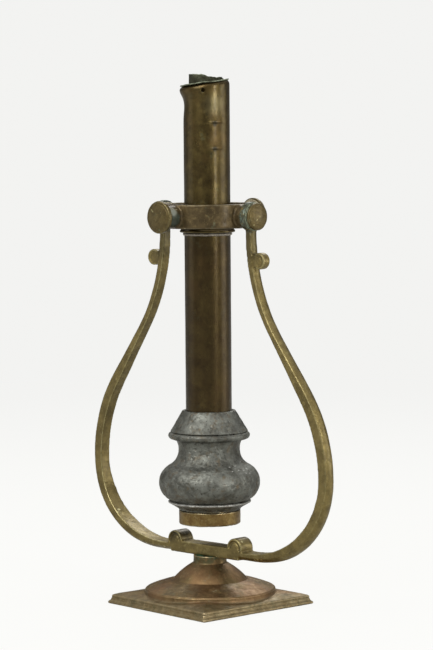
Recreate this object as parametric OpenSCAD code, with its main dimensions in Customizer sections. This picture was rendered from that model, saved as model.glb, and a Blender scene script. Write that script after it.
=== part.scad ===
// Gimballed ship's candlestick: a spring-fed candle tube, weighted at its foot, hangs in
// a two-axis ring between the arms of a lyre-shaped yoke on a square moulded base.
// Millimetres. Z is up, X runs through the yoke's two pivots, Y through the ring's two
// pivots. The origin is the middle of the base's underside.

/* [Base] */
// Half the side of the square foot
base_half = 40.6; // [30:0.1:60]
// Angle the base has been turned on its stem screw, away from the yoke
base_turn = -4.5; // [-45:0.5:45]
// Radius of the round disc on the square foot
disc_r = 36.2; // [25:0.1:39]
// Height of the disc's rim
disc_z = 8.8; // [7:0.1:12]
// Radius of the dome where it rises out of the disc
dome_r = 20.2; // [12:0.1:30]
// Height of the dome's foot
dome_z = 14.0; // [11:0.1:20]
// Radius of the neck under the yoke
neck_r = 9.2; // [6:0.1:14]
// Height where the dome runs into the neck
neck_z = 23.4; // [18:0.1:30]
// Wall of the hollow base casting
base_wall = 2.6; // [1.5:0.1:4]

/* [Yoke] */
// Height of the yoke bar's underside
bar_z = 27.2; // [20:0.1:40]
// Height of the bar's top between the two lower scrolls
bar_top_z = 33.7; // [28:0.1:45]
// Half-width of the yoke over its arms
reach = 89.4; // [60:0.1:120]
// Height of the widest point
widest_z = 76; // [50:0.5:100]
// Radius of the heel, where the bar turns up
r_heel = 63.2; // [40:0.5:90]
// Radius of the arm below its widest point
r_low = 48.2; // [30:0.5:60]
// Radius of the arm above its widest point
r_mid = 80; // [50:0.5:100]
// Radius of the hollow curve under the pivots
r_top = 93; // [50:0.5:140]
// Thickness of the arm in the plane of the yoke, at the bar
arm_t_low = 4.7; // [3:0.1:8]
// Thickness of the arm at its widest point
arm_t_mid = 6.4; // [3:0.1:9]
// Thickness of the arm at the pivot
arm_t_top = 3.9; // [3:0.1:6]
// Front-to-back width of the yoke at the bar
bar_w = 10; // [6:0.1:14]
// Front-to-back width of the arm at its widest point
arm_w_mid = 6.8; // [4:0.1:10]
// Front-to-back width of the arm at the top
arm_w_top = 5.6; // [4:0.1:8]
// Radius of the rounded outer face of the arm
crown_r = 6.4; // [5.2:0.1:12]
// Radius of the lower scrolls on the bar
scroll_low_r = 5.5; // [3:0.1:8]
// Distance of the lower scrolls from the middle
scroll_low_x = 22.8; // [15:0.1:35]
// Radius of the upper scrolls on the arms
scroll_top_r = 4.5; // [3:0.1:7]
// Distance of the upper scrolls from the middle
scroll_top_x = 40; // [36:0.1:46]
// Height of the upper scrolls
scroll_top_z = 191.5; // [170:0.5:200]

/* [Gimbal] */
// Height of both pivot axes
pivot_z = 215.4; // [180:0.1:240]
// Inner radius of the gimbal ring
ring_ri = 23.2; // [20:0.1:26]
// Outer radius of the gimbal ring
ring_ro = 26.6; // [23:0.1:29]
// Height of the ring's band
ring_h = 13.2; // [8:0.1:20]
// Inner face of the yoke's eyes, from the middle
eye_x = 31.1; // [29:0.1:36]
// Radius of the yoke's eyes
eye_r = 8; // [6:0.1:10]
// Radius of the pivot screws' plain shanks
shank_r = 3; // [2:0.05:4]
// Running clearance of the shanks in their bores
shank_gap = 0.05; // [0.01:0.01:0.1]
// Radius of the yoke screws' heads
outer_head_r = 7.4; // [5:0.1:9]
// Radius of the ring screws' heads
inner_head_r = 8.7; // [6:0.1:10]

/* [Candle tube] */
// Outer radius of the tube, one inch across
tube_r = 12.7; // [10:0.05:16]
// Wall of the tube
tube_wall = 0.8; // [0.5:0.1:1.5]
// Height of the tube's foot
tube_z = 49; // [45:0.5:60]
// Height of the tube's damaged mouth, on its axis
mouth_z = 287.8; // [240:0.5:320]
// Slope of the mouth, knocked down on one side
mouth_tilt = 7.6; // [0:0.1:20]
// Direction the mouth slopes up towards, from X
mouth_dir = 44; // [0:1:359]
// Radius of the nozzle's flange on the mouth
flange_r = 13.5; // [12.8:0.1:15]
// Radius of the crushed nozzle on the flange
nozzle_r = 9.9; // [6:0.1:11]

/* [Weight and cap] */
// Radius of the weight's bulb
bulb_r = 28; // [24:0.1:32]
// Height of the bulb's widest point
bulb_z = 68.1; // [60:0.1:80]
// Height of the weight's top rim
weight_top_z = 108; // [95:0.5:120]
// Radius of the weight's waist
waist_r = 16.9; // [15:0.1:20]
// Radius of the screwed bottom cap
cap_r = 17; // [16:0.1:20]
// Height of the cap's underside
cap_z = 45.2; // [42:0.1:50]

/* [Candle feed] */
// Wire radius of the spring
wire_r = 0.5; // [0.4:0.05:1]
// Number of turns in the spring
spring_turns = 18; // [8:1:30]
// Top of the follower with the tube empty
follower_top = 281; // [200:1:283]

/* [Hidden] */
$fn = 96;
ends = [0, 180];                            // the two ends of a pivot axis
big = 60;                                   // wider than the tube, for cutting planes

// Base
lip_h = 1.3;                                // straight edge of the foot
cove_r = 1.7;                               // hollow moulding above it
cove_z = 3;
band_in = 1.5;                              // set-in of the band above the cove
band_top = 4.3;
bevel_in = 2.1;                             // the band's top edge is bevelled
bevel_top = 4.9;
slope_in = [5, 13];                         // breaks of the foot's sloping top
slope_z = [5.8, 7.2];
foot_top = 8.5;
recess = [base_half - 4, 2.2];              // half-width and height of the open underside
disc_edge = 0.5;                            // rounding of the disc's rim
dome_step = 0.5;                            // small step where the dome starts
skirt_arc = 90;                             // radius of the disc's hollow top
dome_arc = 39;                              // radius of the dome's outline
stem_r = 2.5;
stem_gap = 0.1;
stem_seat = neck_z - base_wall;             // where the stem screw's washer bears
stem_top = bar_top_z - 1.4;
stem_washer_r = 5.8;
stem_washer_t = 1.2;
stem_head_r = 4.6;
stem_head_h = 3;
slot_w = 1.2;                               // driver slot, as deep as it is wide

// Yoke
arm_depth = 8;                              // deeper than any arm is thick
lap = 0.0001;                               // degrees an arc runs into its neighbour
arm_top = pivot_z - 9.2;                    // where the arms run straight up to the eyes
eye_lap = 4;                                // length of that straight inside the eye
bar_end = 3;                                // bar beyond the lower scrolls' centres
sink_rim = 1.3;                             // rim round the sinking in a scroll's end
sink = 0.6;                                 // depth of the sinking
web_w = 6.4;                                // web from an upper scroll to its arm
web_x = 3.2;
eye_out = eye_x + arm_t_top;

// Gimbal
bore_r = shank_r + shank_gap;
thread_r = 2.5;                             // threaded end of a pivot screw
boss_r = 6.3;                               // ring bosses that carry the outer pivots
inner_boss_r = 6.1;
outer_boss = 30.5;                          // ends of the bosses along X
inner_boss = 35.3;                          // ends of the bosses along Y
root = 2;                                   // how deep a boss starts inside the ring
ring_edge = 0.4;                            // bevel of the ring's outer edges
face_gap = 0.1;                             // between faces that turn on each other
washer_t = 0.6;
thrust_t = 0.5;
head_h = 2.2;                               // straight side of a screw's head
head_dome = 0.9;
head_edge = 0.3;
outer_seat = eye_out + face_gap + 2 * washer_t;
inner_seat = inner_boss + face_gap + washer_t;
outer_tip = ring_ri + 0.5;                  // ends of the screws' threads
trunnion_end = 22;
inner_tip = trunnion_end - 5;

// Candle tube
collar_r = 14.3;
collar_z = pivot_z - 7.8;                   // top of the collar's flange
collar_top = pivot_z + 5.6;
collar_flange_r = 15.2;
collar_flange_t = 1.4;
bead_r = 0.9;
trunnion_r = 5.5;
trunnion_root = tube_r + 0.2;
tube_ri = tube_r - tube_wall;
pin_r = 1.3;                                // pin hole for the nozzle
pin_drop = 4;                               // below the mouth
pin_turn = 98;                              // round from the mouth's high side
sheet = 0.7;                                // sheet metal of the nozzle
nozzle_off = 1;                             // the nozzle sits this far off the tube's axis
stub_h = 4.5;                               // middle of the crushed stub's torn top
stub_tilt = mouth_tilt + 1;

// Weight and cap
ferrule_r = 15.4;
ferrule_z = 47.4;
ferrule_top = 60;
foot_z = 53.2;                              // underside of the weight
foot_h = 0.7;
rim_r = 22.9;                               // thin rim under the bulb
rim_z = 57.4;
rim_step = 2.4;
roll_r = 1.9;                               // roll under the weight's cone
roll_x = 20.7;
roll_z = 94.2;
cone_lip = 0.8;                             // cone's foot, proud of the roll's centre
cone_foot = roll_z + 2.3;
cone_top_r = tube_r + 2.2;
bulb_arc = 10.6;                            // radius of the bulb's outline
waist_arc = 10.2;                           // radius of the hollow above it
waist_x = 22.3;                             // where the two meet
waist_z = 86.5;
cap_wall = 1.5;
cap_ri = ferrule_r + 0.1;
cap_top = 52.7;
cap_floor_z = cap_z + 0.3;

// Candle feed
follower_r = 11.5;
follower_h = 10;
skirt_t = 0.8;
spring_r = 9.8;
spring_foot = cap_floor_z + cap_wall + face_gap;
spring_head = follower_top - cap_wall - face_gap;

// ---------- shared shapes ----------

function on(c, r, a) = c + r * [cos(a), sin(a)];

// Children made along Z, turned to point outwards at both ends of the yoke's or ring's axis
module on_x() translate([0, 0, pivot_z]) for (a = ends) rotate([0, 90, a]) children();
module on_y() translate([0, 0, pivot_z]) for (a = ends) rotate([0, 90, a + 90]) children();

module tube(z, ri, ro, h) translate([0, 0, z]) difference() {
    cylinder(h = h, r = ro);
    translate([0, 0, -1]) cylinder(h = h + 2, r = ri);
}

// Pie slice of radius r between angles a and b, less than 180 degrees apart
module sector(r, a, b) intersection() {
    circle(r);
    polygon([[0, 0], on([0, 0], 2 * r, a), on([0, 0], 2 * r, (a + b) / 2),
             on([0, 0], 2 * r, b)]);
}

// Everything under an arc of radius r that runs from p up to q, right of the axis
module under_arc(p, q, r) {
    d = q - p;
    c = (p + q) / 2 - sqrt(r * r - d * d / 4) * [d[1], -d[0]] / norm(d);
    intersection() {
        translate(c) sector(r, atan2(p[1] - c[1], p[0] - c[0]), atan2(q[1] - c[1], q[0] - c[0]));
        translate([0, cove_z]) square([disc_r, bar_z]);
    }
}

// ---------- base ----------

// Half of the square foot's section: lip, cove, band and a top that rises to the disc
module foot_half() difference() {
    polygon([[0, 0], [base_half, 0], [base_half, lip_h], [base_half - 1, lip_h + band_in],
             [base_half - band_in, lip_h + band_in], [base_half - band_in, band_top],
             [base_half - bevel_in, bevel_top], [base_half - slope_in[0], slope_z[0]],
             [base_half - slope_in[1], slope_z[1]], [0, foot_top]]);
    translate([base_half + 0.4, cove_z]) circle(cove_r);
}

module foot_bar() rotate([90, 0, 0]) linear_extrude(2 * base_half, center = true)
    union() { foot_half(); mirror([1, 0]) foot_half(); }

module dome_outline() {
    disc_top = [disc_r - disc_edge - 0.1, disc_z + disc_edge - 0.1];
    dome_foot = [dome_r + dome_step - 0.1, dome_z];
    dome_start = [dome_r, dome_z + dome_step];
    polygon([[0, cove_z], [disc_r, cove_z], [disc_r, disc_z - disc_edge], disc_top, dome_foot,
             dome_start, [neck_r, neck_z], [neck_r, bar_z], [0, bar_z]]);
    under_arc(disc_top, dome_foot, skirt_arc);
    under_arc(dome_start, [neck_r, neck_z], dome_arc);
}

// Underside of the casting, a wall's thickness inside the dome
module hollow_outline() polygon([[0, -1], [disc_r - base_wall, -1],
    [disc_r - base_wall, disc_z - base_wall], [dome_r - base_wall / 2, dome_z - base_wall],
    [neck_r - base_wall, stem_seat], [0, stem_seat]]);

module base() color("#6b4a35") rotate([0, 0, base_turn]) difference() {
    union() {
        intersection() { foot_bar(); rotate([0, 0, 90]) foot_bar(); }
        rotate_extrude() dome_outline();
    }
    rotate_extrude() hollow_outline();
    translate([0, 0, -1]) linear_extrude(recess[1] + 1) square(2 * recess[0], center = true);
    cylinder(h = bar_top_z, r = stem_r + stem_gap);
}

module stem_washer() color("#8a7a4a")
    tube(stem_seat - stem_washer_t, stem_r + stem_gap, stem_washer_r, stem_washer_t);

module stem_screw() color("#7d7466") difference() {
    head_z = stem_seat - stem_washer_t - stem_head_h;
    union() {
        translate([0, 0, head_z + 1]) cylinder(h = stem_top - head_z - 1, r = stem_r);
        translate([0, 0, head_z]) cylinder(h = stem_head_h, r = stem_head_r);
    }
    translate([-stem_head_r - 1, -slot_w / 2, head_z - 1])
        cube([2 * stem_head_r + 2, slot_w, slot_w + 1]);
}

// ---------- yoke, drawn with x along the yoke and y upwards ----------

// Centres of the four arcs of an arm. Each face of the arm is the same chain of arcs,
// set in from the outer face by t = [at the bar, at the widest point, at the top]
function c_low() = [reach - r_low, widest_z];
function c_mid() = [reach - r_mid, widest_z];
function c_top() = [eye_out + r_top, arm_top];
function heel_end(t) = asin((widest_z - bar_z - r_heel) / (r_heel - t[0] - r_low + t[1]));
function c_heel(t) = [c_low()[0] - (r_heel - t[0] - r_low + t[1]) * cos(heel_end(t)),
                      bar_z + r_heel];
function mid_end(t) = let (v = c_top() - c_mid())
    atan2(v[1], v[0]) - acos((r_mid - t[1] + r_top + t[2]) / norm(v));

outer_face = [0, 0, 0];
inner_face = [arm_t_low, arm_t_mid, arm_t_top];

// The space the arms enclose, from the middle out to the inner face
module enclosed(t) {
    rh = r_heel - t[0]; rl = r_low - t[1]; rm = r_mid - t[1]; rt = r_top + t[2];
    he = heel_end(t); me = mid_end(t); ch = c_heel(t);
    difference() {
        union() {
            polygon([[-1, ch[1] - rh], [ch[0], ch[1] - rh], on(ch, rh, he),
                     c_low() + [rl, 0], on(c_mid(), rm, me), on(c_top(), -rt, me),
                     c_top() - [rt, 0], c_top() + [-rt, 30], [-1, arm_top + 30]]);
            translate(ch) sector(rh, -90, he);
            translate(c_low()) sector(rl, he, 0);
            translate(c_mid()) sector(rm, 0, me);
        }
        translate(c_top()) circle(rt);
    }
}

// Section of an arm: its rounded outer face touches x = 0
module arm_section() intersection() {
    translate([-arm_depth, -bar_w / 2]) square([arm_depth, bar_w]);
    translate([-crown_r, 0]) circle(crown_r);
}

// Straight piece from p, its outer face turned to angle a, running clockwise
module arm_straight(p, a, len) translate(p) rotate([90, 0, a]) linear_extrude(len)
    arm_section();

module arm_arc(c, r, a, b) translate(c) rotate([0, 0, a]) rotate_extrude(angle = b - a + lap)
    translate([r, 0]) arm_section();

module arm_sweep() {
    t = outer_face;
    he = heel_end(t); me = mid_end(t);
    low = on(c_mid(), r_mid, me); high = on(c_top(), -r_top, me);
    arm_straight([c_heel(t)[0], bar_z], -90, c_heel(t)[0]);
    arm_arc(c_heel(t), r_heel, -90, he);
    arm_arc(c_low(), r_low, he, 0);
    arm_arc(c_mid(), r_mid, 0, me);
    arm_straight(high, me, norm(high - low));
    translate(c_top()) rotate([0, 0, 180]) rotate_extrude(angle = me)
        translate([r_top, 0]) mirror([1, 0]) arm_section();
    arm_straight([eye_out, arm_top + eye_lap], 0, eye_lap);
}

// Front-to-back taper of the arms, seen along X
module taper() rotate([90, 0, 90]) linear_extrude(2 * reach + 10, center = true)
    polygon([[-bar_w / 2, bar_z - 2], [bar_w / 2, bar_z - 2], [bar_w / 2, bar_z + 9],
             [arm_w_mid / 2, widest_z - 8], [arm_w_top / 2, arm_top - 10],
             [arm_w_top / 2, pivot_z], [-arm_w_top / 2, pivot_z],
             [-arm_w_top / 2, arm_top - 10], [-arm_w_mid / 2, widest_z - 8],
             [-bar_w / 2, bar_z + 9]]);

module slab(w) rotate([90, 0, 0]) linear_extrude(w, center = true) children();

module arms() intersection() {
    union() for (side = [0, 1]) mirror([side, 0, 0]) difference() {
        rotate([90, 0, 0]) arm_sweep();
        slab(bar_w + 2) enclosed(inner_face);
    }
    taper();
}

module yoke() color("#8c7641") difference() {
    union() {
        arms();
        slab(bar_w) translate([-scroll_low_x - bar_end, bar_z])
            square([2 * (scroll_low_x + bar_end), bar_top_z - bar_z]);
        for (side = [-1, 1]) {
            slab(bar_w) translate([side * scroll_low_x, bar_top_z]) circle(scroll_low_r);
            slab(arm_w_top - 0.4) translate([side * scroll_top_x, scroll_top_z]) {
                circle(scroll_top_r);
                translate([-side * web_x, 0])
                    square([web_w, 2 * scroll_top_r - 0.6], center = true);
            }
        }
        on_x() translate([0, 0, eye_x]) cylinder(h = arm_t_top, r = eye_r);
    }
    on_x() translate([0, 0, eye_x - 1]) cylinder(h = arm_t_top + 2, r = bore_r);
    // shallow sinkings in the ends of the lower scrolls
    for (side = [-1, 1], face = [-1, 1])
        translate([side * scroll_low_x, face * bar_w / 2, bar_top_z]) rotate([90, 0, 0])
            cylinder(h = 2 * sink, r = scroll_low_r - sink_rim, center = true);
    translate([0, 0, bar_z - 1]) cylinder(h = stem_top - bar_z + 1.2, r = stem_r);
}

// ---------- gimbal ----------

module gimbal_ring() color("#6e5b38") difference() {
    union() {
        translate([0, 0, pivot_z]) rotate_extrude() {
            h = ring_h / 2;
            polygon([[ring_ri - 1, -h], [ring_ro - ring_edge, -h], [ring_ro, ring_edge - h],
                     [ring_ro, h - ring_edge], [ring_ro - ring_edge, h], [ring_ri - 1, h]]);
        }
        on_x() translate([0, 0, ring_ro - root])
            cylinder(h = outer_boss - ring_ro + root, r = boss_r);
        on_y() translate([0, 0, ring_ro - root])
            cylinder(h = inner_boss - ring_ro + root, r = inner_boss_r);
    }
    translate([0, 0, pivot_z - ring_h]) cylinder(h = 2 * ring_h, r = ring_ri);
    on_x() translate([0, 0, ring_ri - root]) cylinder(h = outer_boss - ring_ri + 2 * root, r = thread_r);
    on_y() translate([0, 0, ring_ri - root]) cylinder(h = inner_boss - ring_ri + 2 * root, r = bore_r);
}

// Low domed head of a pivot screw
module screw_head(r) rotate_extrude() intersection() {
    dome = (r * r + head_dome * head_dome) / (2 * head_dome);
    polygon([[0, 0], [r - head_edge, 0], [r, head_edge], [r, head_h - 0.5],
             [r - 0.5, head_h + head_dome], [0, head_h + head_dome]]);
    translate([0, head_h + head_dome - dome]) circle(dome);
}

module pivot_screw(tip, shoulder, seat, r) {
    translate([0, 0, tip]) cylinder(h = shoulder - tip, r = thread_r);
    translate([0, 0, shoulder]) cylinder(h = seat - shoulder, r = shank_r);
    translate([0, 0, seat]) screw_head(r);
}

module outer_screws() color("#7a6740") on_x()
    pivot_screw(outer_tip, outer_boss, outer_seat, outer_head_r);

module outer_thrust_washers() color("#9c8d66") on_x()
    tube(outer_boss, shank_r, boss_r + 0.5, thrust_t);

// Two washers of different size under each head
module outer_head_washers() color("#5c7566") on_x() for (i = [0, 1])
    tube(eye_out + face_gap + i * washer_t, shank_r, outer_head_r + 0.3 - 0.6 * i, washer_t);

module inner_screws() color("#6f6038") on_y()
    pivot_screw(inner_tip, trunnion_end, inner_seat, inner_head_r);

module inner_washers() color("#8d8260") on_y()
    tube(inner_boss + face_gap, shank_r, inner_head_r - 0.8, washer_t);

// ---------- candle tube ----------

module tube_collar() color("#5d4c30") difference() {
    union() {
        translate([0, 0, collar_z]) cylinder(h = collar_top - collar_z, r = collar_r);
        translate([0, 0, collar_z - collar_flange_t])
            cylinder(h = collar_flange_t, r = collar_flange_r);
        on_y() translate([0, 0, trunnion_root])
            cylinder(h = trunnion_end - trunnion_root, r = trunnion_r);
    }
    cylinder(h = mouth_z, r = tube_r);
    on_y() translate([0, 0, inner_tip - 0.5]) cylinder(h = 8, r = thread_r);
}

module collar_bead() color("#a89878") translate([0, 0, collar_z - collar_flange_t - bead_r])
    rotate_extrude() translate([tube_r, 0]) intersection() {
        circle(bead_r);
        translate([0, -bead_r]) square(2 * bead_r);
    }

// Stands its children on the sloping mouth
module on_mouth() translate([0, 0, mouth_z]) rotate([0, -mouth_tilt, mouth_dir]) children();

// Everything above the plane it stands on
module half_space() translate([-big / 2, -big / 2, 0]) cube([big, big, big / 2]);

module candle_tube() color("#54452a") difference() {
    tube(tube_z, tube_ri, tube_r, mouth_z - tube_z + 5);
    on_mouth() half_space();
    translate([0, 0, mouth_z - pin_drop]) rotate([0, 90, mouth_dir - pin_turn])
        cylinder(h = 20, r = pin_r);
}

module nozzle_flange() color("#3f4436") on_mouth() translate([-nozzle_off, 0, 0])
    tube(0, nozzle_r - sheet, flange_r, sheet);

// Crushed stub of the nozzle, tall on the low side
module nozzle_collar() color("#6d7567") difference() {
    tube(mouth_z - stub_h, nozzle_r - sheet, nozzle_r, 3 * stub_h);
    on_mouth() translate([0, 0, sheet]) mirror([0, 0, 1]) half_space();
    translate([0, 0, mouth_z + stub_h]) rotate([0, stub_tilt, mouth_dir]) half_space();
}

// ---------- weight and cap ----------

module weight() color("#73736c") difference() {
    rotate_extrude() {
        // cone, roll and neck
        polygon([[0, roll_z - roll_r], [roll_x, roll_z - roll_r],
                 [roll_x, roll_z + roll_r - 0.1], [roll_x + cone_lip, cone_foot],
                 [cone_top_r, weight_top_z - 0.5], [cone_top_r - 0.5, weight_top_z],
                 [0, weight_top_z]]);
        translate([roll_x, roll_z]) circle(roll_r);
        difference() {
            translate([0, bulb_z]) square([waist_x, roll_z - roll_r - bulb_z]);
            translate([waist_r + waist_arc, waist_z]) circle(waist_arc);
        }
        intersection() {
            translate([bulb_r - bulb_arc, bulb_z]) circle(bulb_arc);
            square([bulb_r + 1, weight_top_z]);
        }
        polygon([[0, foot_z], [cap_r + 0.2, foot_z], [cap_r + 0.4, foot_z + foot_h],
                 [rim_r - 0.4, rim_z - 0.4], [rim_r, rim_z - 0.3], [rim_r, rim_z + 0.2],
                 [rim_r - rim_step, rim_z + 0.8], [bulb_r - bulb_arc, bulb_z], [0, bulb_z]]);
    }
    cylinder(h = mouth_z, r = tube_r);
    cylinder(h = ferrule_top, r = ferrule_r);
}

module tube_ferrule() color("#9a7c3e")
    tube(ferrule_z, tube_r, ferrule_r, ferrule_top - ferrule_z);

module bottom_cap() color("#b08a42") tube(cap_z, cap_ri, cap_r, cap_top - cap_z);

module cap_floor() color("#a07c3c") translate([0, 0, cap_floor_z])
    cylinder(h = cap_wall, r = cap_ri);

// ---------- candle feed ----------

module candle_spring() color("#8d9096") {
    steps = 20 * spring_turns;
    sides = 6;
    rise = (spring_head - spring_foot - 2 * wire_r) / steps;
    polyhedron(
        points = [for (i = [0:steps], j = [0:sides - 1])
            let (a = 18 * i, b = 60 * j, r = spring_r + wire_r * cos(b))
            [r * cos(a), r * sin(a), spring_foot + wire_r + rise * i + wire_r * sin(b)]],
        faces = concat(
            [[for (j = [0:sides - 1]) j]],
            [[for (j = [sides - 1:-1:0]) steps * sides + j]],
            [for (i = [0:steps - 1], j = [0:sides - 1])
                let (k = i * sides + j, n = i * sides + (j + 1) % sides)
                [k, k + sides, n + sides, n]]));
}

module follower() color("#9b8350") translate([0, 0, follower_top - follower_h]) difference() {
    cylinder(h = follower_h, r = follower_r);
    translate([0, 0, -1]) cylinder(h = follower_h - cap_wall + 1, r = follower_r - skirt_t);
}

base();
stem_washer();
stem_screw();
yoke();
gimbal_ring();
outer_screws();
outer_thrust_washers();
outer_head_washers();
inner_screws();
inner_washers();
tube_collar();
collar_bead();
candle_tube();
weight();
tube_ferrule();
bottom_cap();
cap_floor();
candle_spring();
follower();
nozzle_flange();
nozzle_collar();
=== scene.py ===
"""Looks of the gimballed ship's candlestick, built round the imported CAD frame.

The makers below work in millimetres and hand over metres when a mesh is made.
"""

import math
from functools import cache

import bmesh
import bpy
import numpy as np
from mathutils import Matrix, Vector, noise


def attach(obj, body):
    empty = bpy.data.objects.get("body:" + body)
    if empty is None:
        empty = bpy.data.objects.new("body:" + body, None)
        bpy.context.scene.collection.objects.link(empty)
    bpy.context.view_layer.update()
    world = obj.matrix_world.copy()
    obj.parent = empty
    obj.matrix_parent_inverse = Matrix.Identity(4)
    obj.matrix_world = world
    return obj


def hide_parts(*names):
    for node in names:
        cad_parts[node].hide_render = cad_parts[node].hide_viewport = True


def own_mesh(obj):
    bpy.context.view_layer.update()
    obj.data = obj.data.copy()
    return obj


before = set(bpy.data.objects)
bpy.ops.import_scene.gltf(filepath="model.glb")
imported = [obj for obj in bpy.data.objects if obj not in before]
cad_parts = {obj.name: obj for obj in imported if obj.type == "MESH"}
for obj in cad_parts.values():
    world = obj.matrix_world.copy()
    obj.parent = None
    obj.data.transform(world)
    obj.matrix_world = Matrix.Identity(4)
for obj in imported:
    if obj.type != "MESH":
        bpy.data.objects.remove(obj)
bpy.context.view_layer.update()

MM = 0.001
TAU = 2 * math.pi

# Driving dimensions, in millimetres
pivot_z = 215.4
base_half = 40.6
base_turn = math.radians(-4.5)
disc_r, disc_z = 36.2, 8.8
dome_r, dome_z = 20.2, 14.0
neck_r, neck_z = 9.2, 23.4
base_wall = 2.6
bar_z, bar_top_z = 27.2, 33.7
reach, widest_z = 89.4, 76.0
r_heel, r_low, r_mid, r_top = 63.2, 48.2, 80.0, 93.0
arm_t = (4.7, 6.4, 3.9)
bar_w, arm_w_mid, arm_w_top = 10.0, 6.8, 5.6
crown_r = 6.4
scroll_low = (22.8, 33.7, 5.5)
scroll_top = (40.0, 191.5, 4.5)
eye_x, eye_out, eye_r = 31.1, 35.0, 8.0
bore_r, shank_r, thread_r = 3.05, 3.0, 2.5
ring_ri, ring_ro, ring_h = 23.2, 26.6, 13.2
outer_boss, inner_boss, boss_r = 30.5, 35.3, 6.3
tube_r, tube_wall, tube_z = 12.7, 0.8, 49.0
mouth_z, mouth_tilt, mouth_dir = 287.8, math.radians(7.6), math.radians(44)
foot_corner, foot_z, underside_z = 0.9, 4.9, 2.2
collar_r, collar_low, collar_high = 14.3, 9.2, 5.6
cap_z, cap_top_z, cap_ri, cap_ro = 45.2, 52.7, 15.5, 17.0
rim_z, rim_top_z, cone_top_z = 56.4, 58.2, 108
dent_x, dent_y, dent_heights = 11.6, -5.3, (266, 252)
arm_top = pivot_z - 9.2

sides = (("right", 1), ("left", -1))
backdrop = (0.895, 0.895, 0.88)


# ---------- meshes ----------


def arc(centre, radius, start, end, steps):
    """Points on a circle from angle start to end, in degrees."""
    angles = np.radians(np.linspace(start, end, steps + 1))
    return [(centre[0] + radius * math.cos(a), centre[1] + radius * math.sin(a)) for a in angles]


def arc_between(p, q, radius, steps):
    """Points of an arc from p to q that bulges to the right of the way there."""
    p, q = np.array(p, float), np.array(q, float)
    d = q - p
    side = np.array([-d[1], d[0]]) / np.linalg.norm(d)
    centre = (p + q) / 2 + side * math.sqrt(radius**2 - d @ d / 4)
    a0, a1 = (math.degrees(math.atan2(*(v - centre)[::-1])) for v in (p, q))
    return arc(centre, radius, a0, a1, steps)


def dense(points, step):
    """The same line with no two points further apart than step."""
    out = [points[0]]
    for a, b in zip(points, points[1:]):
        n = max(1, math.ceil(math.dist(a, b) / step))
        out += [tuple(np.add(a, np.subtract(b, a) * i / n)) for i in range(1, n + 1)]
    return out


def ring_faces(rows, columns, closed):
    """Quads between rings of points; closed joins the last ring to the first."""
    faces = []
    for i in range(rows if closed else rows - 1):
        a, b = i * columns, (i + 1) % rows * columns
        faces += [(a + j, a + (j + 1) % columns, b + (j + 1) % columns, b + j) for j in range(columns)]
    return faces


def lathe(profile, columns, closed=True):
    """Vertices and faces of (r, z) points turned about Z; open profiles end on the axis."""
    turn = np.linspace(0, TAU, columns, endpoint=False)
    p = np.array(profile, float)
    x, y = np.outer(p[:, 0], np.cos(turn)), np.outer(p[:, 0], np.sin(turn))
    z = np.repeat(p[:, 1:2], columns, axis=1)
    verts = np.stack([x, y, z], axis=2).reshape(-1, 3)
    return verts, ring_faces(len(p), columns, closed)


def sweep(sections):
    """Vertices and faces of a row of equal closed sections, with both ends capped."""
    rows, columns = len(sections), len(sections[0])
    faces = ring_faces(rows, columns, False)
    faces += [tuple(range(columns))[::-1], tuple(range((rows - 1) * columns, rows * columns))]
    return np.concatenate(sections), faces


def mesh(name, shapes):
    """One unlinked mesh of several (vertices, faces) shapes, its normals turned outwards."""
    verts, faces = [], []
    for v, f in shapes:
        start = sum(len(x) for x in verts)
        verts.append(np.asarray(v, float))
        faces += [tuple(i + start for i in face) for face in f]
    made = bpy.data.meshes.new(name)
    made.from_pydata((np.concatenate(verts) * MM).tolist(), [], faces)
    bm = bmesh.new()
    bm.from_mesh(made)
    bmesh.ops.remove_doubles(bm, verts=bm.verts, dist=1e-7)
    bmesh.ops.recalc_face_normals(bm, faces=bm.faces)
    bm.to_mesh(made)
    bm.free()
    return made


def place(shape, matrix):
    """The same shape, moved by a matrix."""
    v, f = shape
    m = np.array(matrix)
    return v @ m[:3, :3].T + m[:3, 3], f


def add(name, shapes):
    """An object made of several shapes, linked to the scene."""
    o = bpy.data.objects.new(name, mesh(name, shapes))
    bpy.context.scene.collection.objects.link(o)
    o.data.shade_smooth()
    return o


def apply_modifiers(o):
    graph = bpy.context.evaluated_depsgraph_get()
    o.data = bpy.data.meshes.new_from_object(o.evaluated_get(graph))
    o.modifiers.clear()
    o.data.name = o.name


def carve(o, cutter):
    """Cuts the cutter's shapes out of o."""
    tool = add("cutter", cutter)
    cut = o.modifiers.new("cut", "BOOLEAN")
    cut.operation, cut.solver, cut.object = "DIFFERENCE", "EXACT", tool
    apply_modifiers(o)
    bpy.data.objects.remove(tool)


def weld(o, voxel, smooth):
    """Melts overlapping shapes into one casting with a mesh of even size."""
    remesh = o.modifiers.new("weld", "REMESH")
    remesh.mode, remesh.voxel_size = "VOXEL", voxel * MM
    soft = o.modifiers.new("soft", "SMOOTH")
    soft.factor, soft.iterations = 0.5, smooth
    apply_modifiers(o)
    o.data.shade_smooth()


def wear(o, height):
    """Moves each vertex along its normal by height(place), in millimetres."""
    n = len(o.data.vertices)
    co, normal = np.zeros(n * 3), np.zeros(n * 3)
    o.data.vertices.foreach_get("co", co)
    o.data.vertices.foreach_get("normal", normal)
    co, normal = co.reshape(-1, 3) / MM, normal.reshape(-1, 3)
    moves = np.array([height(Vector(p)) for p in co])
    o.data.vertices.foreach_set("co", ((co + normal * moves[:, None]) * MM).ravel())
    o.data.update()


def grain(p, size):
    """Smooth noise about 0, with lumps of about size millimetres."""
    increment, lacunarity, octaves = 1.0, 2.0, 2
    return noise.fractal(p / size, increment, lacunarity, octaves)


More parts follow.
